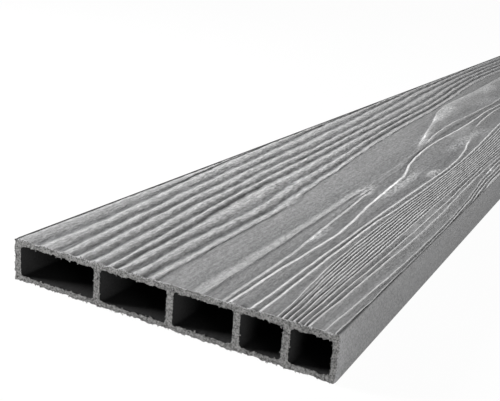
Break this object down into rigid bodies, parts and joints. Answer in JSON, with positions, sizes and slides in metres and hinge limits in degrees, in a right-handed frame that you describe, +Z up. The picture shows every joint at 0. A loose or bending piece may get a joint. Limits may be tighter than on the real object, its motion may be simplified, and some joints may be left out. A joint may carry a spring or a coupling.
{
  "type": "raised bed board",
  "caption": "Hollow wood-plastic composite board with a deep embossed wood-grain face, for the walls of a raised garden bed.",
  "frame": {"origin": "middle of the underside (the plain back face), halfway along the board", "axes": "+X across the width, from the edge with the soft arris to the crisp edge; +Y along the length, away from the end that the picture shows; +Z up out of the embossed face"},
  "size_m": [0.15, 2, 0.02],
  "materials": {
    "wpc": "matte"
  },
  "bodies": {
    "root": {"board": "wpc"}
  },
  "joints": []
}
